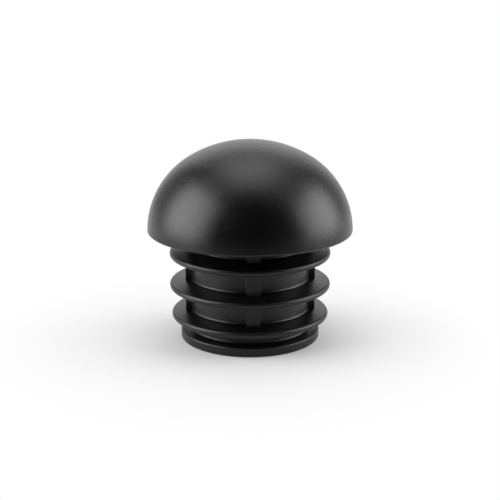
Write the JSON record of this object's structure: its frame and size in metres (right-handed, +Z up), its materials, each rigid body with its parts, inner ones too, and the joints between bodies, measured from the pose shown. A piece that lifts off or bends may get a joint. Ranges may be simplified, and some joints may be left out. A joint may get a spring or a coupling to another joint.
{
  "type": "tube end cap",
  "caption": "Domed push-in end cap for a round tube: a hollow stem with round grip fins and cross ribs under a smooth mushroom head.",
  "frame": {"origin": "on the cap's axis, in the plane of the stem's foot, which the cap stands on", "axes": "+Z up along the cap's axis, from the stem's foot to the crown; +X and +Y each through one of the stem's ribs"},
  "size_m": [0.036, 0.036, 0.0353],
  "materials": {
    "black_polyethylene": "satin, very finely textured"
  },
  "bodies": {
    "root": {"tube_end_cap": "black_polyethylene"}
  },
  "joints": []
}
